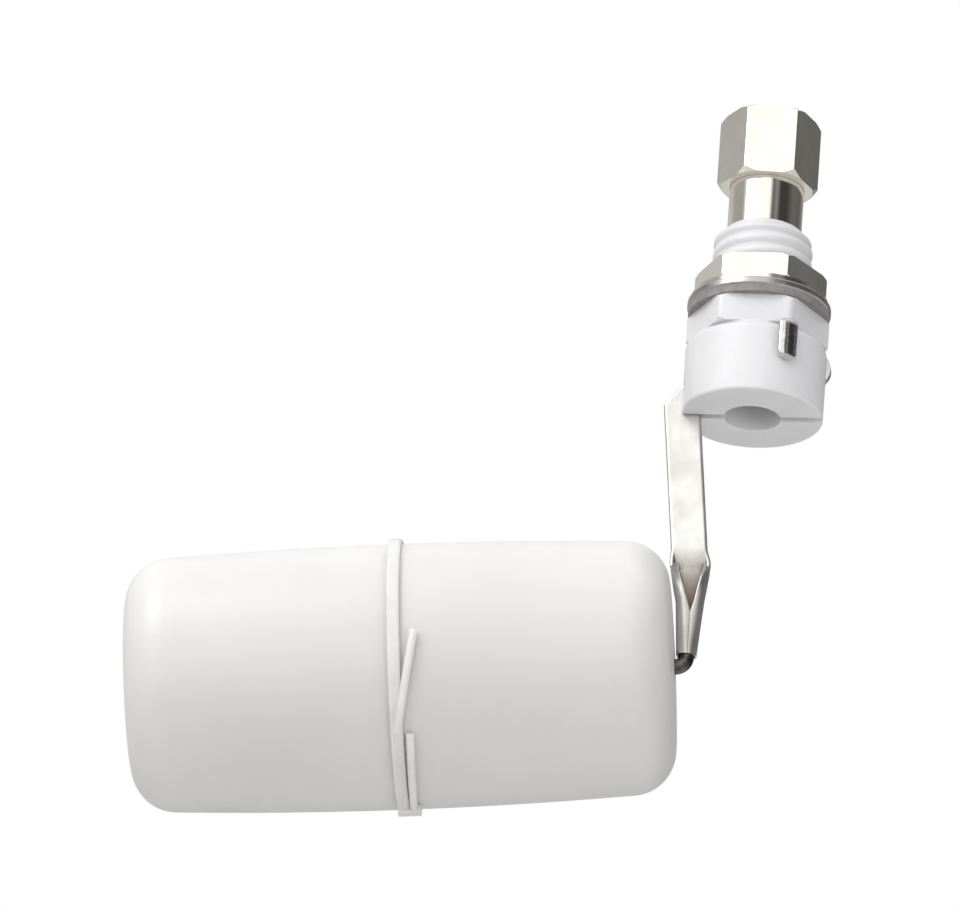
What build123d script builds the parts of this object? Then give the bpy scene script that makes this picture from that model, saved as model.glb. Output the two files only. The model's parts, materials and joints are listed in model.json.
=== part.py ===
from build123d import *
import math
import os

# Lever-operated float valve: compression inlet, bulkhead shank with lock nut, hollow barrel float.
# Millimetres. The origin is on the shank axis, in the plane where the body's hexagon seats against a
# tank wall. +Z runs up the shank to the inlet, -X runs out to the float, and the lever swings in y = 0.

# Valve body, one acetal moulding
body_radius = 10.4
body_bottom = -15.9
body_edge = 0.4
body_shoulder = 0.9
waist_radius = 9.4
waist_height = 0.5
hexagon_flats = 18.4
hexagon_height = 4.3
hexagon_edge = 0.5
hexagon_corner = 1.0
shank_radius = 7.35
shank_groove_radius = 6.9
shank_groove_low = 8.2
shank_groove_high = 8.7
shank_top = 14.2
shank_edge = 0.3
shank_chamfer = 1.8
outlet_radius = 4.2
outlet_top = 1.5
stem_hole_radius = 4.9
slot_width = 1.5
slot_top = -4.5

# Inlet stem and compression end for 1/4 inch tube
tube_radius = 3.2
stem_radius = 5.5
stem_screw_radius = 4.85
stem_bottom = 2.5
stem_top = 27.3
socket_floor = 22.3
water_radius = 1.6
nut_flats = 13.0
nut_bottom = 21.4
nut_top = 32.4
nut_bore_radius = 5.55
nut_edge = 0.7
nut_corner = 0.3
nut_turn = 5.0
sleeve_radius = 4.6
screen_radius = 2.45
screen_thickness = 0.4
screen_hole_radius = 0.55

# Wall fixing on the shank
gasket_radius = 10.4
gasket_thickness = 1.1
washer_radius = 10.6
washer_thickness = 1.2
lock_nut_flats = 17.0
lock_nut_top = 7.1
lock_nut_flange = 0.8
lock_nut_flange_radius = 10.1
lock_nut_edge = 0.5
lock_nut_turn = -3.0
shank_clearance = 0.1

# Lever, pivot and plunger
pivot_x = 5.1
pivot_z = -8.6
pin_radius = 0.95
pin_hole_radius = 1.05
pin_leg_half_width = 1.5
pin_leg_half_depth = 0.75
pin_leg_tip = 1.1
pin_leg_up = 3.3
pin_leg_down = 1.1
pin_eye_radius = 1.5
blade_slope = 14.6
blade_width = 5.2
strip_thickness = 1.0
tip_x = 8.7
shoulder_x = -9.65
elbow_x = -13.1
elbow_z = -14.25
leg_top = (-10.5, -14.9)
leg_low = (-7.95, -39.3)
leg_width = 5.4
rolled_radius = 1.4
rolled_x = -7.3
rolled_top = -45.5
rolled_bottom = -54.6
rod_radius = 1.15
rod_top = -47.5
rod_bend = 1.5
plunger_radius = 4.1
plunger_bottom = -5.7
plunger_top = -1.4
plunger_groove = 1.6
foot_radius = 1.5
foot_gap = 0.05
disc_radius = 2.8
disc_low = -3.0
disc_high = -1.2
plunger_travel = 1.5
orifice_radius = 0.9
nozzle_flange = 3.8
nozzle_tail_radius = 2.2
nozzle_tail_length = 2.7
seat_gap = 0.02

# Barrel float on the end of the rod
rod_entry = (-8.85, -56.3)
float_tilt = 4.8
float_length = 79.8
float_mid_radius = 19.35
float_end_radius = 18.2
float_corner = 6.5
float_end_dome = 0.6
float_wall = 1.2
rod_depth = 27.0
socket_radius = 3.3
socket_depth = 32.0
socket_start = 2.05
rod_seal_start = 0.95
rod_seal_radius = 2.5
rod_clearance = 0.05
band_width = 1.8
band_height = 0.8
band_tail_radius = 0.6
# Each tail of the tie: start angle, angle covered, and its distance from the joint at either end
band_tails = ((-5, 43, 3.0, 0.0), (-49, 50, 1.9, 1.5))
band_lock_angle = -100
band_lock_size = (1.3, 2.2, 3.4)

hexagon_bottom = -hexagon_height
washer_bottom = gasket_thickness
lock_nut_bottom = gasket_thickness + washer_thickness
shank_bore = shank_radius + shank_clearance
slope = math.radians(blade_slope)
float_mid = float_length / 2


def cylinder(radius, low, high):
    """A round bar about Z between two heights."""
    return Pos(0, 0, low) * Cylinder(radius, high - low, align=(Align.CENTER, Align.CENTER, Align.MIN))


def ring(outer, inner, low, high):
    """A plain collar about Z between two heights."""
    return cylinder(outer, low, high) - cylinder(inner, low, high)


def turned(*points):
    """A solid of revolution about Z from a closed outline of (radius, height) points."""
    return revolve(make_face(Plane.XZ * Polyline(*points, close=True)), Axis.Z)


def hexagon(flats, low, high, corner):
    """A hexagonal bar about Z with a flat facing -Y and its six long edges rounded."""
    section = RegularPolygon(flats / 2, 6, major_radius=False)
    return Pos(0, 0, low) * extrude(fillet(section.vertices(), corner), high - low)


def hexagon_with_edges(flats, low, high, edge, corner):
    """A hexagonal bar whose six corners are turned off at both ends."""
    tip = flats / math.sqrt(3)
    land = tip - 1.1 * edge
    blank = turned((0, low), (land, low), (tip, low + edge), (tip, high - edge), (land, high), (0, high))
    return hexagon(flats, low, high, corner) & blank


def valve_body():
    """Round outlet chamber, hexagon seat and threaded shank in one piece."""
    chamber = cylinder(body_radius, body_bottom, hexagon_bottom - waist_height)
    chamber = fillet(chamber.edges().group_by(Axis.Z)[0], body_edge)
    chamber = fillet(chamber.edges().group_by(Axis.Z)[-1], body_shoulder)
    chamber += cylinder(waist_radius, hexagon_bottom - waist_height, hexagon_bottom)
    shank = turned(
        (0, 0),
        (shank_radius, 0),
        (shank_radius, shank_groove_low),
        (shank_groove_radius, shank_groove_low),
        (shank_groove_radius, shank_groove_high),
        (shank_radius, shank_groove_high),
        (shank_radius, shank_top - shank_chamfer),
        (shank_radius - shank_chamfer, shank_top),
        (0, shank_top),
    )
    shank = fillet(shank.edges().filter_by(GeomType.CIRCLE).group_by(Axis.Z)[-1], shank_edge)
    head = hexagon_with_edges(hexagon_flats, hexagon_bottom, 0, hexagon_edge, hexagon_corner)
    body = chamber + head + shank
    body -= cylinder(outlet_radius, body_bottom, outlet_top)
    body -= cylinder(stem_hole_radius, outlet_top, shank_top)
    slot_height = slot_top - body_bottom
    body -= Pos(0, 0, slot_top - slot_height / 2) * Box(3 * body_radius, slot_width, slot_height)
    return body - pivot_bar(pin_hole_radius, 2 * body_radius)


def pivot_bar(radius, length):
    """A round bar along Y on the lever's pivot."""
    return Pos(pivot_x, 0, pivot_z) * Rot(90, 0, 0) * Cylinder(radius, length)


def inlet_stem():
    """Plated brass stem: screwed into the shank below, compression thread and tube socket above."""
    nozzle_socket_top = stem_bottom + nozzle_tail_length + 0.2
    return turned(
        (nozzle_tail_radius, stem_bottom),
        (stem_screw_radius, stem_bottom),
        (stem_screw_radius, shank_top),
        (stem_radius, shank_top),
        (stem_radius, stem_top - 0.4),
        (stem_radius - 0.4, stem_top),
        (tube_radius, stem_top),
        (tube_radius, socket_floor),
        (screen_radius, socket_floor),
        (screen_radius, socket_floor - screen_thickness),
        (water_radius, socket_floor - screen_thickness),
        (water_radius, nozzle_socket_top),
        (nozzle_tail_radius, nozzle_socket_top),
    )


def compression_nut():
    """Hexagonal cap nut: thread bore, cone that drives the sleeve, and the tube hole."""
    cone_low = stem_top + 1.7
    cone_high = cone_low + 1.6
    bore = turned(
        (0, nut_bottom),
        (nut_bore_radius, nut_bottom),
        (nut_bore_radius, cone_low),
        (tube_radius, cone_high),
        (tube_radius, nut_top),
        (0, nut_top),
    )
    return Rot(0, 0, nut_turn) * hexagon_with_edges(nut_flats, nut_bottom, nut_top, nut_edge, nut_corner) - bore


def compression_sleeve():
    """Brass ferrule between the stem's end and the nut's cone."""
    low = stem_top + 0.05
    return turned(
        (tube_radius, low),
        (sleeve_radius, low),
        (sleeve_radius, stem_top + 1.9),
        (tube_radius + 0.2, stem_top + 2.8),
        (tube_radius, stem_top + 2.8),
    )


def inlet_screen():
    """Perforated disc that keeps grit out of the orifice."""
    disc = cylinder(screen_radius, socket_floor - screen_thickness, socket_floor)
    hole = cylinder(screen_hole_radius, socket_floor - screen_thickness, socket_floor)
    disc -= hole
    for spot in PolarLocations(1.6, 6):
        disc -= spot * hole
    return disc


def nozzle_seat():
    """Orifice pressed into the stem's lower end; the plunger's disc closes on its tip."""
    tip = disc_high + plunger_travel + seat_gap
    return turned(
        (orifice_radius, tip),
        (orifice_radius + 0.6, tip),
        (orifice_radius + 1.2, outlet_top),
        (nozzle_flange, outlet_top),
        (nozzle_flange, stem_bottom),
        (nozzle_tail_radius, stem_bottom),
        (nozzle_tail_radius, stem_bottom + nozzle_tail_length),
        (orifice_radius, stem_bottom + nozzle_tail_length),
    )


def stem_o_ring():
    """Ring that seals the stem against the body's inner ledge."""
    return ring(stem_screw_radius, nozzle_flange + 0.05, outlet_top, stem_bottom)


def wall_gasket():
    return ring(gasket_radius, shank_bore, 0, gasket_thickness)


def wall_washer():
    washer = ring(washer_radius, shank_bore, washer_bottom, lock_nut_bottom)
    return chamfer(washer.edges().filter_by(GeomType.CIRCLE).sort_by(SortBy.RADIUS)[-2:], 0.25)


def lock_nut():
    """Hexagonal nut standing on a round flange."""
    flange_top = lock_nut_bottom + lock_nut_flange
    flange = cylinder(lock_nut_flange_radius, lock_nut_bottom, flange_top)
    nut = flange + hexagon_with_edges(lock_nut_flats, flange_top, lock_nut_top, lock_nut_edge, nut_corner)
    return Rot(0, 0, lock_nut_turn) * nut - cylinder(shank_bore, lock_nut_bottom, lock_nut_top)


def foot_centre_z():
    """Height of the plunger foot's centre when the foot stands on the dropped lever."""
    lift = blade_width / 2 + foot_radius + foot_gap - pivot_x * math.sin(slope)
    return pivot_z + lift / math.cos(slope)


def plunger():
    """Fluted piston: a pocket for the rubber disc above, a round foot on the lever below."""
    piston = cylinder(plunger_radius, plunger_bottom, plunger_top)
    piston -= cylinder(disc_radius, disc_low, plunger_top)
    flute = Pos(plunger_radius, 0, 0) * Box(plunger_groove, plunger_groove, 4 * plunger_radius)
    for turn in (45, 135, 225, 315):
        piston -= Rot(0, 0, turn) * flute
    return piston + Pos(0, 0, foot_centre_z()) * Sphere(foot_radius)


def seat_disc():
    return cylinder(disc_radius, disc_low, disc_high)


def pivot_pin():
    """Split pin through the body: an eye behind, two flattened legs bent apart in front."""
    front = -math.sqrt((body_radius + pin_leg_half_depth + foot_gap) ** 2 - pivot_x**2)
    back = -front
    pin = Pos(pivot_x, (front + back) / 2, pivot_z) * Rot(90, 0, 0) * Cylinder(pin_radius, back - front)
    against_body = Pos(pivot_x, front, pivot_z) * Rot(0, 0, math.degrees(math.atan2(pivot_x, back)))
    for reach in (pin_leg_up, -pin_leg_down):
        leg = extrude(Ellipse(pin_leg_half_width, pin_leg_half_depth), reach)
        tip = scale(Sphere(1), by=(pin_leg_half_width, pin_leg_half_depth, pin_leg_tip))
        pin += against_body * (leg + Pos(0, 0, reach) * tip)
    eye = Pos(pivot_x, back + pin_eye_radius, pivot_z) * Rot(0, 90, 0) * Torus(pin_eye_radius, pin_radius / 2)
    return pin + eye


def blade_edge(x, side):
    """Height of the blade's upper (side 1) or lower (side -1) edge at x."""
    return pivot_z + math.tan(slope) * (x - pivot_x) + side * blade_width / 2 / math.cos(slope)


def rod_path():
    """Centreline of the rod: out of the rolled socket, round the bend and into the float."""
    tilt = math.radians(float_tilt)
    corner_z = rod_entry[1] + math.tan(tilt) * (rolled_x - rod_entry[0])
    end_x = rod_entry[0] - rod_depth * math.cos(tilt)
    end_z = rod_entry[1] - rod_depth * math.sin(tilt)
    corners = [(rolled_x, rod_top), (rolled_x, corner_z), (end_x, end_z)]
    return Plane.XZ * FilletPolyline(*corners, radius=rod_bend)


def along(path, radius):
    """A round bar swept along a path."""
    return sweep(Plane(origin=path @ 0, z_dir=path % 0) * Circle(radius), path=path)


def lever_strip():
    """Flat part of the lever: blade through the body, shoulder and the leg that hangs outside it."""
    tip_z = pivot_z + math.tan(slope) * (tip_x - pivot_x)
    half = blade_width / 2
    tip_top = (tip_x - half * math.sin(slope), tip_z + half * math.cos(slope))
    tip_end = (tip_x + half * math.cos(slope), tip_z + half * math.sin(slope))
    tip_low = (tip_x + half * math.sin(slope), tip_z - half * math.cos(slope))
    lean = math.atan2(leg_low[0] - leg_top[0], leg_top[1] - leg_low[1])
    inner_x = leg_top[0] + leg_width / 2 / math.cos(lean)
    outline = Polyline(
        tip_top,
        (shoulder_x, blade_edge(shoulder_x, 1)),
        (elbow_x, elbow_z),
        (leg_low[0] - leg_width / 2, leg_low[1]),
        (leg_low[0] + leg_width / 2, leg_low[1]),
        (inner_x, blade_edge(inner_x, -1)),
        tip_low,
    )
    face = make_face(Plane.XZ * (outline + ThreePointArc(tip_low, tip_end, tip_top)))
    return extrude(face, strip_thickness / 2, both=True)


def lever_fold():
    """Stretch where the strip's edges are folded round into the rolled socket."""
    sections = (
        (leg_low[0], leg_low[1], leg_width, strip_thickness),
        (leg_low[0] + 0.3, leg_low[1] - 4.1, 4.1, 2.0),
        (rolled_x, rolled_top - 1.4, 2.4, 2.4),
    )
    return loft([Pos(x, 0, z) * Rectangle(wide, deep) for x, z, wide, deep in sections], ruled=True)


def lever_arm():
    """One strip: blade, leg, and a lower end rolled into a socket that is crimped on the rod."""
    socket = Pos(rolled_x, 0, 0) * cylinder(rolled_radius, rolled_bottom, rolled_top)
    rod_hole = Pos(rolled_x, 0, 0) * cylinder(rod_radius, rolled_bottom, rod_top)
    return lever_strip() + lever_fold() + socket - rod_hole - pivot_bar(pin_hole_radius, body_radius)


def float_rod():
    return along(rod_path(), rod_radius)


def in_float(shape):
    """Move a shape from the float's own frame (Z along its axis, X to the front) to its place."""
    tilt = math.radians(float_tilt)
    axis = (-math.cos(tilt), 0, -math.sin(tilt))
    place = Plane(origin=(rod_entry[0], 0, rod_entry[1]), x_dir=(0, -1, 0), z_dir=axis)
    return place * shape


def barrel(inset):
    """The float's closed barrel with its skin moved inward by inset."""
    end_radius = float_end_radius - inset
    mid_radius = float_mid_radius - inset
    low = inset
    high = float_length - inset
    outline = (
        ThreePointArc((-end_radius, low + float_end_dome), (0, low), (end_radius, low + float_end_dome))
        + ThreePointArc(
            (end_radius, low + float_end_dome), (mid_radius, float_mid), (end_radius, high - float_end_dome)
        )
        + ThreePointArc((end_radius, high - float_end_dome), (0, high), (-end_radius, high - float_end_dome))
        + ThreePointArc(
            (-end_radius, high - float_end_dome), (-mid_radius, float_mid), (-end_radius, low + float_end_dome)
        )
    )
    face = make_face(outline)
    face = fillet(face.vertices(), float_corner - inset)
    half = face & (Pos(float_length / 2, float_mid) * Rectangle(float_length, 2 * float_length))
    return revolve(Plane.XZ * half, Axis.Z)


def float_skin():
    return barrel(0) - barrel(float_wall)


def float_shell_arm_side():
    """Half shell on the lever's side, with the boss that the rod enters through."""
    shell = float_skin() & cylinder(2 * float_mid_radius, -1, float_mid)
    boss = cylinder(socket_radius + 2.0, float_wall / 2, socket_start)
    return in_float(shell + boss - cylinder(rod_seal_radius, -1, socket_start))


def float_shell_free_end():
    return in_float(float_skin() & cylinder(2 * float_mid_radius, float_mid, float_length + 1))


def float_socket():
    """Blind tube bonded to the arm-side shell; it grips the rod and keeps the float sealed."""
    bore = rod_radius + rod_clearance
    return in_float(
        turned(
            (bore, socket_start),
            (socket_radius + 2.0, socket_start),
            (socket_radius + 2.0, socket_start + 1.0),
            (socket_radius, socket_start + 1.0),
            (socket_radius, socket_depth),
            (0, socket_depth),
            (0, socket_depth - 1.5),
            (bore, socket_depth - 1.5),
        )
    )


def rod_seal():
    return in_float(ring(rod_seal_radius, rod_radius + rod_clearance, rod_seal_start, socket_start))


def float_band():
    """Tie round the joint of the two half shells, with its two tails laid along the front."""
    outer = float_mid_radius + band_height
    half = band_width / 2
    tie = turned(
        (float_mid_radius, float_mid - half),
        (outer - 0.2, float_mid - half),
        (outer, float_mid - half + 0.3),
        (outer, float_mid + half - 0.3),
        (outer - 0.2, float_mid + half),
        (float_mid_radius, float_mid + half),
    )
    for start_angle, sweep_angle, start_shift, end_shift in band_tails:
        rise = start_shift - end_shift
        line = Helix(
            pitch=rise * 360 / sweep_angle, height=rise, radius=float_mid_radius + band_tail_radius, lefthand=True
        )
        tie += Pos(0, 0, float_mid - start_shift) * Rot(0, 0, start_angle) * along(line, band_tail_radius)
    lock = Pos(float_mid_radius + band_lock_size[0] / 2, 0, float_mid - band_width + 1.0) * Box(*band_lock_size)
    return in_float(tie + Rot(0, 0, band_lock_angle) * lock)


nodes = {
    "compression_nut": compression_nut,
    "compression_sleeve": compression_sleeve,
    "inlet_stem": inlet_stem,
    "inlet_screen": inlet_screen,
    "nozzle_seat": nozzle_seat,
    "stem_o_ring": stem_o_ring,
    "valve_body": valve_body,
    "wall_gasket": wall_gasket,
    "wall_washer": wall_washer,
    "lock_nut": lock_nut,
    "plunger": plunger,
    "seat_disc": seat_disc,
    "pivot_pin": pivot_pin,
    "lever_arm": lever_arm,
    "float_rod": float_rod,
    "rod_seal": rod_seal,
    "float_socket": float_socket,
    "float_shell_arm_side": float_shell_arm_side,
    "float_shell_free_end": float_shell_free_end,
    "float_band": float_band,
}

os.makedirs("parts", exist_ok=True)
for name, make in nodes.items():
    export_step(make(), f"parts/{name}.step")
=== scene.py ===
import bpy
import json
import math
from mathutils import Matrix, Vector


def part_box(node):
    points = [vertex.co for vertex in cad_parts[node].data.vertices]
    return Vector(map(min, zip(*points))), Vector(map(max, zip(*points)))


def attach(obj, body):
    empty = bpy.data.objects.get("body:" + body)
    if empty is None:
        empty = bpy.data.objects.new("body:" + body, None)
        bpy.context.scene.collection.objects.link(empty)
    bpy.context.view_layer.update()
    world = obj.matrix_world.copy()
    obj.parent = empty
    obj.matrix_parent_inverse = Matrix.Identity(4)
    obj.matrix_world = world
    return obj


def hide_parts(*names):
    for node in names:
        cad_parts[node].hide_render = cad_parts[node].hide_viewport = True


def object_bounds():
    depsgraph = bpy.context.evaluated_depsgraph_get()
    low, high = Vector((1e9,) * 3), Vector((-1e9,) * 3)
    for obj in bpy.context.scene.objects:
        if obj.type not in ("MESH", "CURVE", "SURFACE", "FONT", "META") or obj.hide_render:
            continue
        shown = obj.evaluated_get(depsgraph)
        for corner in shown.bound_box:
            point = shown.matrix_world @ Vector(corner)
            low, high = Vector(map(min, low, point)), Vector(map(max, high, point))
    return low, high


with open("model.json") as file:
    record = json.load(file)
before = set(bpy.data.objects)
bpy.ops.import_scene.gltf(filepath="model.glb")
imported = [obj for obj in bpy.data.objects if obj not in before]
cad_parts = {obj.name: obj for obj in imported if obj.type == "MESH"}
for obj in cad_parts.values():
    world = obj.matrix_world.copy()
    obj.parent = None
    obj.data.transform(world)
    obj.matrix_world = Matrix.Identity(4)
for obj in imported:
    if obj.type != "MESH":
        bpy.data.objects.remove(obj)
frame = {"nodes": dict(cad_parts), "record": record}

# A float valve, seen from a little below against white. Metres throughout; MM converts lengths that are
# easier to read in millimetres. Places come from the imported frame.
MM = 0.001
cad_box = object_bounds()
nodes = frame["nodes"]


def node_corners(name):
    """Lowest and highest corner of a CAD node."""
    low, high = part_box(name)
    return Vector(low), Vector(high)


body_low, body_high = node_corners("valve_body")
rod_low, rod_high = node_corners("float_rod")
lever_low, lever_high = node_corners("lever_arm")
outlet_centre = Vector((0, 0, body_low.z))
joints = frame["record"]["behaviour"]["joints"]
pivot = Vector(next(joint["pos_m"] for joint in joints if joint["name"] == "lever_swing"))


def between(start, end, part):
    """The value part of the way from start to end; numbers or vectors."""
    return start + (end - start) * part


# ---------------------------------------------------------------------------------------------------
# Materials
# ---------------------------------------------------------------------------------------------------


class Shader:
    """A node material under construction; every call adds one node and links what it is given."""

    def __init__(self, name):
        self.material = bpy.data.materials.new(name)
        self.material.use_nodes = True
        self.tree = self.material.node_tree
        self.surface = self.tree.nodes["Principled BSDF"]
        self.place = self.add("ShaderNodeTexCoord").outputs["Object"]

    def add(self, kind, settings=None, **inputs):
        """A node with settings as attributes and inputs as values or links, keyed by socket name."""
        node = self.tree.nodes.new(kind)
        for key, value in (settings or {}).items():
            setattr(node, key, value)
        for key, value in inputs.items():
            self.feed(node.inputs[key.replace("_", " ")], value)
        return node

    def feed(self, socket, value):
        if isinstance(value, bpy.types.NodeSocket):
            self.tree.links.new(value, socket)
        else:
            socket.default_value = value

    def set(self, **inputs):
        """Constants or links on the Principled shader's own sockets."""
        for key, value in inputs.items():
            self.feed(self.surface.inputs[key.replace("_", " ")], value)

    def stretched(self, scale):
        """Object coordinates scaled unevenly, for grain that runs one way."""
        return self.add("ShaderNodeMapping", Vector=self.place, Scale=scale).outputs["Vector"]

    def noise(self, scale, detail=3.0, roughness=0.5, where=None):
        where = self.place if where is None else where
        node = self.add("ShaderNodeTexNoise", Vector=where, Scale=scale, Detail=detail, Roughness=roughness)
        return node.outputs["Fac"]

    def between(self, factor, low, high, start=0.3, end=0.7):
        """A number that runs from low to high as factor runs from start to end."""
        node = self.add("ShaderNodeMapRange", Value=factor)
        node.inputs["From Min"].default_value = start
        node.inputs["From Max"].default_value = end
        node.inputs["To Min"].default_value = low
        node.inputs["To Max"].default_value = high
        return node.outputs["Result"]

    def blend(self, factor, dark, light):
        """A colour between two others."""
        node = self.add("ShaderNodeMix", {"data_type": "RGBA"})
        self.feed(node.inputs["Factor"], factor)
        node.inputs["A"].default_value = (*dark, 1)
        node.inputs["B"].default_value = (*light, 1)
        return node.outputs["Result"]

    def hollows(self, reach):
        """0 in tight corners and folds, 1 in the open, by occlusion over the given reach."""
        node = self.add("ShaderNodeAmbientOcclusion", {"samples": 6, "only_local": True}, Distance=reach)
        return node.outputs["AO"]

    def shaded_in_folds(self, unshaded, fold_shade, reach, start, end):
        """The given colour in the open, running to a painted shade colour where the surface is folded in,
        standing in for the shadow inside folds.
        """
        node = self.add("ShaderNodeMix", {"data_type": "RGBA"})
        self.feed(node.inputs["Factor"], self.between(self.hollows(reach), 0.0, 1.0, start, end))
        node.inputs["A"].default_value = (*fold_shade, 1)
        self.feed(node.inputs["B"], unshaded)
        return node.outputs["Result"]

    def bump(self, *layers):
        """Stacked bumps; each layer is (height output, strength, distance in metres)."""
        normal = None
        for height, strength, distance in layers:
            node = self.add("ShaderNodeBump", Height=height, Strength=strength, Distance=distance)
            if normal is not None:
                self.tree.links.new(normal, node.inputs["Normal"])
            normal = node.outputs["Normal"]
        self.tree.links.new(normal, self.surface.inputs["Normal"])


def nickel_plate(name, dark, light, rough_low, rough_high, lathe):
    """Bright nickel plate: cloudy tint, faint wipe marks and, where turned, fine rings round Z."""
    s = Shader(name)
    clouds = s.noise(260.0, 4.0)
    rings = s.noise(1.0, 2.0, where=s.stretched((40.0, 40.0, 9000.0)))
    wipes = s.noise(1.0, 3.0, where=s.stretched((2500.0, 2500.0, 180.0)))
    s.set(
        Base_Color=s.blend(s.between(clouds, 0.0, 1.0), dark, light),
        Metallic=1.0,
        Roughness=s.between(wipes, rough_low, rough_high),
    )
    s.bump((clouds, 0.06, 0.05 * MM), (rings if lathe else wipes, 0.10, 0.02 * MM))
    return s.material


def stainless_strip():
    """Rolled stainless strip: long grain along the leg, small dents, dull smears, and painted brown shade in
    its folds.
    """
    s = Shader("stainless_strip")
    grain = s.noise(1.0, 4.0, where=s.stretched((3800.0, 3800.0, 120.0)))
    smears = s.noise(190.0, 5.0, 0.6)
    dents = s.noise(700.0, 2.0)
    unshaded = s.blend(s.between(smears, 0.0, 1.0, 0.35, 0.65), (0.60, 0.585, 0.56), (0.73, 0.725, 0.71))
    s.set(
        # Painted shade: the colour turns dark brown where the strip folds in on itself.
        Base_Color=s.shaded_in_folds(unshaded, (0.15, 0.105, 0.085), 3.0 * MM, 0.50, 0.98),
        Metallic=1.0,
        Roughness=s.between(grain, 0.34, 0.48),
    )
    s.bump((grain, 0.12, 0.02 * MM), (dents, 0.05, 0.05 * MM))
    return s.material


def dark_steel():
    """Drawn rod with a dark oxide bloom."""
    s = Shader("dark_steel")
    bloom = s.noise(900.0, 4.0)
    s.set(
        Base_Color=s.blend(s.between(bloom, 0.0, 1.0), (0.05, 0.048, 0.042), (0.20, 0.19, 0.17)),
        Metallic=1.0,
        Roughness=s.between(bloom, 0.25, 0.42),
    )
    s.bump((bloom, 0.15, 0.03 * MM))
    return s.material


def bright_pin():
    """Polished wire of the split pin."""
    s = Shader("bright_pin")
    scuffs = s.noise(1500.0, 3.0)
    s.set(
        Base_Color=s.blend(s.between(scuffs, 0.0, 1.0), (0.50, 0.49, 0.47), (0.70, 0.70, 0.69)),
        Metallic=1.0,
        Roughness=s.between(scuffs, 0.06, 0.12),
    )
    s.bump((scuffs, 0.05, 0.01 * MM))
    return s.material


def brass_turned():
    s = Shader("brass_turned")
    rings = s.noise(1.0, 2.0, where=s.stretched((30.0, 30.0, 9000.0)))
    s.set(
        Base_Color=s.blend(s.between(rings, 0.0, 1.0), (0.52, 0.36, 0.12), (0.72, 0.54, 0.24)),
        Metallic=1.0,
        Roughness=s.between(rings, 0.2, 0.34),
    )
    s.bump((rings, 0.2, 0.02 * MM))
    return s.material


def moulded_plastic(name, dark, light, rough_low, rough_high, depth, weight, flow_scale):
    """White moulded plastic: cloudy flow marks, fine spark texture and light entering the surface."""
    s = Shader(name)
    flow = s.noise(flow_scale, 4.0, 0.55)
    grain = s.noise(4200.0, 2.0)
    waves = s.noise(flow_scale * 2.0, 2.0)
    s.set(
        Base_Color=s.blend(s.between(flow, 0.0, 1.0), dark, light),
        Roughness=s.between(grain, rough_low, rough_high),
        Subsurface_Weight=weight,
        Subsurface_Radius=(depth, depth * 0.94, depth * 0.86),
        Subsurface_Scale=1.0,
        IOR=1.48,
    )
    s.bump((waves, 0.10, 0.12 * MM), (grain, 0.05, 0.01 * MM))
    return s.material


def rubber(name, dark, light):
    """Matt rubber with a dusty bloom."""
    s = Shader(name)
    dust = s.noise(800.0, 4.0)
    pores = s.noise(5000.0, 2.0)
    s.set(
        Base_Color=s.blend(s.between(dust, 0.0, 1.0), dark, light),
        Roughness=s.between(dust, 0.55, 0.8),
        Specular_IOR_Level=0.35,
    )
    s.bump((pores, 0.25, 0.02 * MM))
    return s.material


nickel_hex = nickel_plate("nickel_hex", (0.76, 0.74, 0.67), (0.83, 0.82, 0.77), 0.12, 0.20, lathe=False)
nickel_turned = nickel_plate("nickel_turned", (0.74, 0.69, 0.63), (0.84, 0.80, 0.75), 0.06, 0.12, lathe=True)
washer_plate = nickel_plate("washer_plate", (0.34, 0.33, 0.33), (0.52, 0.50, 0.50), 0.25, 0.4, lathe=True)
strip_steel = stainless_strip()
rod_steel = dark_steel()
pin_steel = bright_pin()
sleeve_brass = brass_turned()
acetal_white = moulded_plastic(
    "acetal_white", (0.66, 0.66, 0.69), (0.72, 0.72, 0.74), 0.34, 0.44, 1.2 * MM, 0.35, 120.0
)
acetal_natural = moulded_plastic(
    "acetal_natural", (0.72, 0.71, 0.66), (0.80, 0.79, 0.75), 0.36, 0.46, 1.0 * MM, 0.3, 150.0
)
float_poly = moulded_plastic(
    "float_poly", (0.75, 0.73, 0.71), (0.81, 0.795, 0.78), 0.30, 0.40, 6.0 * MM, 0.6, 34.0
)
band_poly = moulded_plastic(
    "band_poly", (0.70, 0.69, 0.69), (0.79, 0.78, 0.78), 0.18, 0.28, 3.0 * MM, 0.6, 200.0
)
black_rubber = rubber("black_rubber", (0.02, 0.02, 0.02), (0.06, 0.058, 0.055))
grey_rubber = rubber("grey_rubber", (0.20, 0.19, 0.19), (0.30, 0.28, 0.28))

finishes = {
    "compression_nut": nickel_hex,
    "lock_nut": nickel_hex,
    "inlet_stem": nickel_turned,
    "wall_washer": washer_plate,
    "wall_gasket": grey_rubber,
    "compression_sleeve": sleeve_brass,
    "inlet_screen": strip_steel,
    "nozzle_seat": pin_steel,
    "stem_o_ring": black_rubber,
    "valve_body": acetal_white,
    "plunger": acetal_natural,
    "seat_disc": black_rubber,
    "pivot_pin": pin_steel,
    "lever_arm": strip_steel,
    "float_rod": rod_steel,
    "rod_seal": black_rubber,
    "float_socket": float_poly,
    "float_shell_arm_side": float_poly,
    "float_shell_free_end": float_poly,
    "float_band": band_poly,
}
for node_name, finish in finishes.items():
    slots = nodes[node_name].data.materials
    slots.clear()
    slots.append(finish)

# ---------------------------------------------------------------------------------------------------
# Mesh tools
# ---------------------------------------------------------------------------------------------------


def new_piece(name, mesh, body, material, crease=35.0):
    """A mesh as an object on a body, smooth except where faces meet at more than the crease angle."""
    piece = bpy.data.objects.new(name, mesh)
    bpy.context.scene.collection.objects.link(piece)
    mesh.materials.clear()
    mesh.materials.append(material)
    mesh.shade_smooth()
    mesh.set_sharp_from_angle(angle=math.radians(crease))
    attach(piece, body)
    return piece


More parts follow.
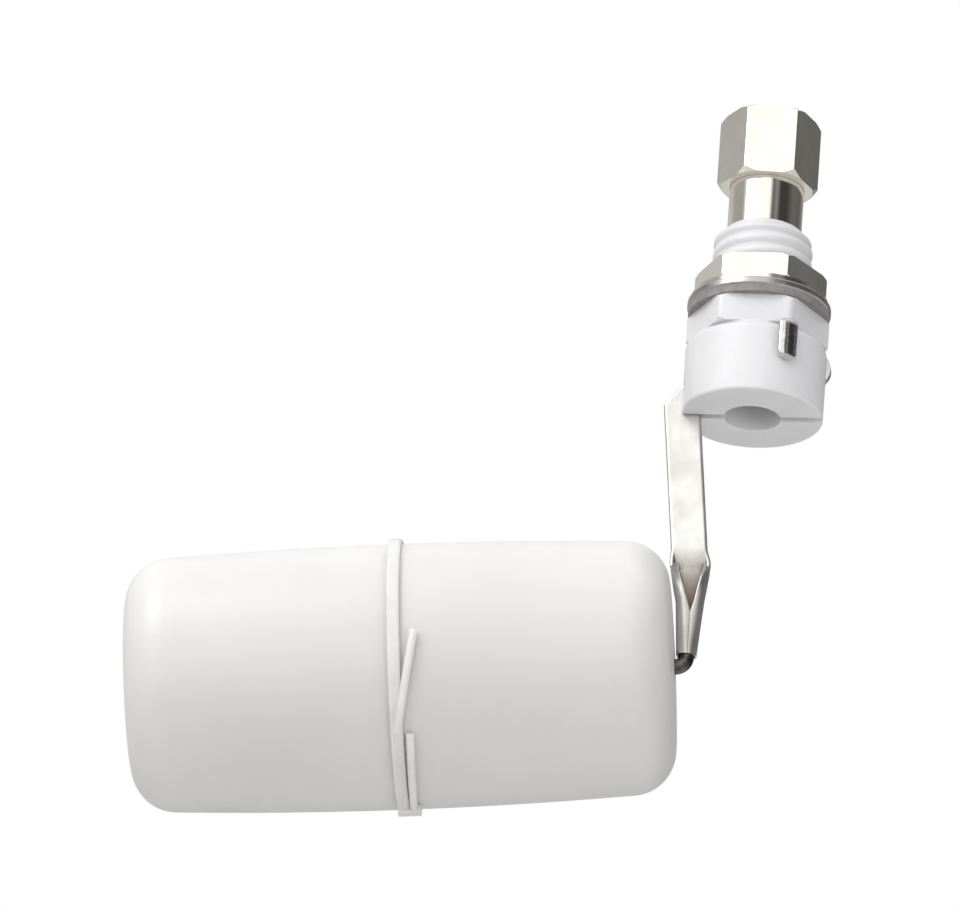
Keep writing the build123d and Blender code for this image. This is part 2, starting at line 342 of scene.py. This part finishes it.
def skin(name, rings):
    """A closed mesh through rings of equally many points, its two ends capped."""
    count = len(rings[0])
    faces = []
    for row in range(len(rings) - 1):
        for k in range(count):
            here = row * count + k
            after = row * count + (k + 1) % count
            faces.append((here, after, after + count, here + count))
    last = (len(rings) - 1) * count
    faces.append(tuple(reversed(range(count))))
    faces.append(tuple(range(last, last + count)))
    mesh = bpy.data.meshes.new(name)
    mesh.from_pydata([point for ring in rings for point in ring], [], faces)
    mesh.update()
    return mesh


def rounded(corners, radius, steps):
    """A path in the XZ plane whose inner corners become arcs of the given number of points."""
    path = [corners[0]]
    for before, corner, after in zip(corners, corners[1:], corners[2:]):
        into = (before - corner).normalized()
        out = (after - corner).normalized()
        half = into.angle(out) / 2
        centre = corner + (into + out).normalized() * radius / math.sin(half)
        first = corner + into * radius / math.tan(half) - centre
        last = corner + out * radius / math.tan(half) - centre
        for k in range(steps):
            path.append(centre + first.normalized().slerp(last.normalized(), k / (steps - 1)) * radius)
    path.append(corners[-1])
    return path


def soften(piece, width, segments=3, angle=38.0):
    """Rounds the sharp edges of a piece."""
    bevel = piece.modifiers.new("soft_edges", "BEVEL")
    bevel.width = width
    bevel.segments = segments
    bevel.limit_method = "ANGLE"
    bevel.angle_limit = math.radians(angle)
    bevel.harden_normals = True


# ---------------------------------------------------------------------------------------------------
# Lever: one strip, flat through the body and down the leg, its edges folded round into a socket
# ---------------------------------------------------------------------------------------------------
strip_thickness = 0.85 * MM
blade_half = 2.6 * MM
blade_slope = math.radians(14.6)
leg_half = 2.7 * MM
shoulder_x = -9.65 * MM
elbow_z = -14.25 * MM
leg_foot = Vector((-7.95, 0, -37.0)) * MM
fold_start = -37.6 * MM
fold_end = -46.0 * MM
seam_closed = -48.0 * MM
socket_wall = 0.24 * MM
socket_x = rod_high.x - (rod_high.y - rod_low.y) / 2
socket_turn = math.radians(10.0)
tip_setback = 0.2 * MM  # keeps the round tip inside the CAD node's box
leg_lean = 0.104  # sideways run of the leg for each unit of fall
seam_gap = 0.05 * MM
seam_spread = 0.27
folded_back = 0.85 * MM  # half of the flat back where the fold is complete
mouth_back = 0.1 * MM  # and at the socket's mouth
first_bend = 0.6 * MM  # bend radius where the fold starts
folded_bend = 1.12 * MM
mouth_bend = 1.27 * MM
closing_power = 1.8
lip_starts = 1.8  # radians of bend, past square, from which the edge runs on as a lip
cap_angles = (0.5, 1.05, 1.57, 2.1, 2.65)  # radians, the points of the rounded edge
fold_steps = 46
half_steps = 22


def blade_edge(x, side):
    """Point on the blade's upper (side 1) or lower (side -1) edge at x."""
    rise = math.tan(blade_slope) * (x - pivot.x) + side * blade_half / math.cos(blade_slope)
    return Vector((x, 0, pivot.z + rise))


def part_of(start, end, z):
    """How far z has got from start to end, held between 0 and 1; 0 where there is no z."""
    return 0.0 if z is None else min(max((start - z) / (start - end), 0.0), 1.0)


def strip_section(half_width, thickness, z=None):
    """Closed outline (across, depth) of the strip: flat, or folded as far as it is at height z.

    Each half runs from the middle: a flat back, a bend of growing turn, then a lip towards the seam.
    """
    fold = part_of(fold_start, fold_end, z)
    down = part_of(fold_end, lever_low.z, z)
    flat = between(between(half_width - thickness / 2, folded_back, fold), mouth_back, down)
    radius = between(between(first_bend, folded_bend, fold), mouth_bend, down)
    turn = math.pi * (1 - (1 - fold) ** closing_power)
    reach = flat + radius * math.sin(turn)
    gap = seam_gap if z is None else seam_gap + seam_spread * max(0.0, z - seam_closed)
    lip = max(0.0, (reach - gap) / abs(math.cos(turn))) if turn > lip_starts else 0.0
    length = flat + radius * turn + lip
    inner, outer = [], []
    for k in range(half_steps + 1):
        s = length * k / half_steps
        angle = min(max((s - flat) / radius, 0.0), turn)
        past = max(s - flat - radius * turn, 0.0)
        across = min(s, flat) + radius * math.sin(angle) + past * math.cos(angle)
        depth = radius * math.cos(angle) - radius * (1 - min(1.0, 3 * fold)) - past * math.sin(angle)
        normal = Vector((-math.sin(angle), -math.cos(angle))) * thickness / 2
        inner.append(Vector((across, depth)) + normal)
        outer.append(Vector((across, depth)) - normal)
    travel = Vector((math.cos(turn), -math.sin(turn))) * thickness / 2
    middle = (inner[-1] + outer[-1]) / 2
    toward_inner = inner[-1] - middle
    cap = []
    for angle in cap_angles:
        cap.append(middle + toward_inner * math.cos(angle) + travel * math.sin(angle))
    right = inner + cap + list(reversed(outer))
    left = [Vector((-point.x, point.y)) for point in reversed(right[1:-1])]
    return right + left


def strip_ring(centre, across, half_width, thickness, z=None):
    """The section placed in space, its seam turned a little to the right once it is folded."""
    turn = socket_turn * part_of(fold_start, seam_closed, z)
    ring = []
    for point in strip_section(half_width, thickness, z):
        side = point.x * math.cos(turn) - point.y * math.sin(turn)
        depth = point.x * math.sin(turn) + point.y * math.cos(turn)
        ring.append(centre + across * side + Vector((0, depth, 0)))
    return ring


def lever_mesh():
    """The whole strip from the blade's round tip, past shoulder and elbow, to the socket's mouth."""
    tip_x = lever_high.x - blade_half - tip_setback
    tip = (blade_edge(tip_x, 1) + blade_edge(tip_x, -1)) / 2
    along = Vector((math.cos(blade_slope), 0, math.sin(blade_slope)))
    down = Vector((math.sin(blade_slope), 0, -math.cos(blade_slope)))
    rings = []
    for angle in (87, 75, 60, 45, 30, 15):
        turn = math.radians(angle)
        end = tip + along * blade_half * math.sin(turn)
        half_width = blade_half * math.cos(turn) + strip_thickness / 2
        rings.append(strip_ring(end, down, half_width, strip_thickness))
    outer_foot = leg_foot - Vector((leg_half, 0, 0))
    inner_foot = leg_foot + Vector((leg_half, 0, 0))
    elbow = Vector((lever_low.x, 0, elbow_z))
    corner_x = inner_foot.x - leg_lean * (blade_edge(inner_foot.x, -1).z - inner_foot.z)
    outer = [tip - down * blade_half, blade_edge(shoulder_x, 1), elbow, outer_foot]
    inner = [tip + down * blade_half, blade_edge(corner_x, -1), inner_foot]
    for a, b in zip(rounded(outer, 1.0 * MM, 8), rounded(inner, 0.5 * MM, 16)):
        rings.append(strip_ring((a + b) / 2, (b - a).normalized(), (b - a).length / 2, strip_thickness))
    for k in range(1, fold_steps + 1):
        z = between(leg_foot.z, lever_low.z, k / fold_steps)
        fold = part_of(fold_start, fold_end, z)
        x = between(leg_foot.x + leg_lean * (leg_foot.z - z) * (1 - fold), socket_x, fold)
        thickness = between(strip_thickness, socket_wall, fold)
        rings.append(strip_ring(Vector((x, 0, z)), Vector((1, 0, 0)), leg_half, thickness, z))
    return skin("lever_strip", rings)


lever_strip = new_piece("lever_strip", lever_mesh(), "lever", strip_steel, crease=50.0)
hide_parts("lever_arm")

# ---------------------------------------------------------------------------------------------------
# Body: the moulding, with the shank's thread above the gasket as a piece of its own
# ---------------------------------------------------------------------------------------------------
shank_radius = 7.35 * MM
shank_chamfer = 1.8 * MM
core_radius = 6.8 * MM
thread_pitch = 2.0 * MM
thread_depth = 0.42 * MM
thread_low = node_corners("wall_gasket")[1].z + 0.05 * MM
around = 96
thread_rows = 110


def thread_radius(angle, z):
    """Outer radius of the thread: rounded crests, fading out towards the chamfered end."""
    chamfer_start = body_high.z - shank_chamfer
    envelope = shank_radius - max(0.0, z - chamfer_start)
    phase = 2 * math.pi * z / thread_pitch - angle
    groove = thread_depth * (0.5 + 0.5 * math.cos(phase)) ** 1.6
    return max(core_radius - 0.05 * MM, envelope - groove)


def thread_mesh():
    """The thread as a sleeve round the shank, one ring of points a row."""
    top = body_high.z - shank_chamfer + (shank_radius - core_radius)
    rings = []
    for row in range(thread_rows + 1):
        z = between(thread_low, top, row / thread_rows)
        ring = []
        for k in range(around):
            angle = 2 * math.pi * k / around
            radius = thread_radius(angle, z)
            ring.append(Vector((radius * math.cos(angle), radius * math.sin(angle), z)))
        rings.append(ring)
    return skin("shank_thread", rings)


def relieved(source, name, inner, low, high):
    """A copy of a mesh with everything outside the inner radius removed between two heights."""
    outer = shank_radius * 1.5
    profile = ((inner, low), (outer, low), (outer, high), (inner, high))
    rings = []
    for radius, z in profile:
        turn = [2 * math.pi * k / around for k in range(around)]
        rings.append([Vector((radius * math.cos(angle), radius * math.sin(angle), z)) for angle in turn])
    faces = []
    for row in range(4):
        for k in range(around):
            here = row * around + k
            after = row * around + (k + 1) % around
            upper = ((row + 1) % 4) * around
            faces.append((here, after, upper + (k + 1) % around, upper + k))
    collar = bpy.data.meshes.new(name + "_collar")
    collar.from_pydata([point for ring in rings for point in ring], [], faces)
    target = bpy.data.objects.new(name, source.copy())
    cutter = bpy.data.objects.new(name + "_cutter", collar)
    for item in (target, cutter):
        bpy.context.scene.collection.objects.link(item)
    difference = target.modifiers.new("cut", "BOOLEAN")
    difference.operation = "DIFFERENCE"
    difference.solver = "EXACT"
    difference.object = cutter
    bpy.context.view_layer.update()
    shaped = target.evaluated_get(bpy.context.evaluated_depsgraph_get())
    result = bpy.data.meshes.new_from_object(shaped)
    result.name = name
    for item in (target, cutter):
        bpy.data.objects.remove(item)
    return result


body_mesh = relieved(nodes["valve_body"].data, "body_moulding", core_radius, thread_low, body_high.z + 1 * MM)
body_moulding = new_piece("body_moulding", body_mesh, "valve", acetal_white, crease=30.0)
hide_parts("valve_body")
soften(body_moulding, 0.22 * MM)
new_piece("shank_thread", thread_mesh(), "valve", acetal_white, crease=60.0)

for name, width in (("compression_nut", 0.16), ("lock_nut", 0.16), ("inlet_stem", 0.1), ("wall_gasket", 0.2)):
    soften(nodes[name], width * MM)

# ---------------------------------------------------------------------------------------------------
# Studio: white surroundings, a pale floor far below, soft lights and the camera
# ---------------------------------------------------------------------------------------------------
view_azimuth = math.radians(5.0)
view_elevation = math.radians(-25.0)
view_roll = math.radians(4.3)
view_width = 140.8 * MM
outlet_right_of_centre = 39.9 * MM
outlet_above_centre = 5.3 * MM


def studio_camera():
    """A long lens below the object, placed from where the outlet's centre falls in the picture."""
    toward = Vector(
        (
            math.sin(view_azimuth) * math.cos(view_elevation),
            -math.cos(view_azimuth) * math.cos(view_elevation),
            math.sin(view_elevation),
        )
    )
    level = Vector((math.cos(view_azimuth), math.sin(view_azimuth), 0))
    upright = toward.cross(level)
    right = level * math.cos(view_roll) + upright * math.sin(view_roll)
    up = upright * math.cos(view_roll) - level * math.sin(view_roll)
    data = bpy.data.cameras.new("camera")
    data.lens = 500.0
    data.sensor_width = 36.0
    distance = view_width * data.lens / data.sensor_width
    centre = outlet_centre - right * outlet_right_of_centre - up * outlet_above_centre
    camera = bpy.data.objects.new("camera", data)
    turn = Matrix((right, up, toward)).transposed().to_4x4()
    camera.matrix_world = Matrix.Translation(centre + toward * distance) @ turn
    data.clip_start = 0.01
    data.clip_end = 50.0
    bpy.context.scene.collection.objects.link(camera)
    bpy.context.scene.camera = camera


def studio_world():
    """White behind the object; what the metal reflects is bright in front and darker round the sides."""
    world = bpy.data.worlds.new("studio")
    bpy.context.scene.world = world
    world.use_nodes = True
    tree = world.node_tree
    tree.nodes.clear()
    make = tree.nodes.new
    link = tree.links.new
    direction = make("ShaderNodeTexCoord").outputs["Generated"]
    parts = make("ShaderNodeSeparateXYZ")
    link(direction, parts.inputs[0])
    front = make("ShaderNodeMath")
    front.operation = "MULTIPLY"
    front.inputs[1].default_value = -1.0
    link(parts.outputs["Y"], front.inputs[0])
    bearing = make("ShaderNodeMath")
    bearing.operation = "ARCTAN2"
    link(parts.outputs["X"], bearing.inputs[0])
    link(front.outputs[0], bearing.inputs[1])
    turn = make("ShaderNodeMapRange")
    turn.inputs["From Min"].default_value = -math.pi
    turn.inputs["From Max"].default_value = math.pi
    link(bearing.outputs[0], turn.inputs["Value"])
    # Round the horizon from behind, past the left (-X), the front and the right, and back again.
    sides = make("ShaderNodeValToRGB")
    stops = (
        (0.00, 0.50),
        (0.14, 0.62),
        (0.19, 0.45),
        (0.24, 0.42),
        (0.30, 0.42),
        (0.34, 1.40),
        (0.535, 1.40),
        (0.565, 0.10),
        (0.60, 0.30),
        (0.63, 0.05),
        (0.70, 0.05),
        (0.76, 0.16),
        (0.86, 0.14),
        (0.93, 0.30),
        (1.00, 0.50),
    )
    ramp = sides.color_ramp
    for position, level in stops[1:-1]:
        ramp.elements.new(position)
    for element, (position, level) in zip(ramp.elements, stops):
        element.position = position
        element.color = (level, level * 0.985, level * 0.955, 1)
    link(turn.outputs[0], sides.inputs[0])
    height = make("ShaderNodeMapRange")
    height.inputs["From Min"].default_value = 0.45
    height.inputs["From Max"].default_value = 0.95
    link(parts.outputs["Z"], height.inputs["Value"])
    overhead = make("ShaderNodeMix")
    overhead.data_type = "RGBA"
    link(height.outputs[0], overhead.inputs["Factor"])
    link(sides.outputs[0], overhead.inputs["A"])
    overhead.inputs["B"].default_value = (1.15, 1.15, 1.15, 1)
    lit = make("ShaderNodeBackground")
    link(overhead.outputs["Result"], lit.inputs["Color"])
    plain = make("ShaderNodeBackground")
    plain.inputs["Color"].default_value = (1, 1, 1, 1)
    path = make("ShaderNodeLightPath")
    choose = make("ShaderNodeMixShader")
    link(path.outputs["Is Camera Ray"], choose.inputs[0])
    link(lit.outputs[0], choose.inputs[1])
    link(plain.outputs[0], choose.inputs[2])
    output = make("ShaderNodeOutputWorld")
    link(choose.outputs[0], output.inputs["Surface"])


def studio_floor():
    """A wide pale floor, lower than the camera."""
    half = 3.0
    level = -1.1
    mesh = bpy.data.meshes.new("floor")
    corners = [(-half, -half, level), (half, -half, level), (half, half, level), (-half, half, level)]
    mesh.from_pydata(corners, [], [(0, 1, 2, 3)])
    floor = bpy.data.objects.new("floor", mesh)
    bpy.context.scene.collection.objects.link(floor)
    s = Shader("floor_paint")
    mottle = s.noise(6.0, 4.0)
    paint = s.blend(s.between(mottle, 0.0, 1.0), (0.78, 0.78, 0.77), (0.84, 0.84, 0.83))
    s.set(Base_Color=paint, Roughness=0.7)
    mesh.materials.append(s.material)


def soft_light(name, where, aim, size, power, mirrored=True):
    """A square soft light; one that isn't mirrored lights the plastics but leaves no image in the metal."""
    data = bpy.data.lights.new(name, "AREA")
    data.size = size
    data.energy = power
    light = bpy.data.objects.new(name, data)
    light.visible_glossy = mirrored
    light.location = where
    light.rotation_mode = "QUATERNION"
    light.rotation_quaternion = (Vector(aim) - Vector(where)).to_track_quat("-Z", "Y")
    bpy.context.scene.collection.objects.link(light)


studio_camera()
studio_world()
studio_floor()
middle = (cad_box[0] + cad_box[1]) / 2
soft_light("key_light", middle + Vector((-0.45, -0.5, 0.55)), middle, 0.5, 3.0)
soft_light("fill_light", middle + Vector((0.7, -0.5, -0.1)), middle, 0.7, 2.4, mirrored=False)
bpy.context.scene.view_settings.view_transform = "Standard"
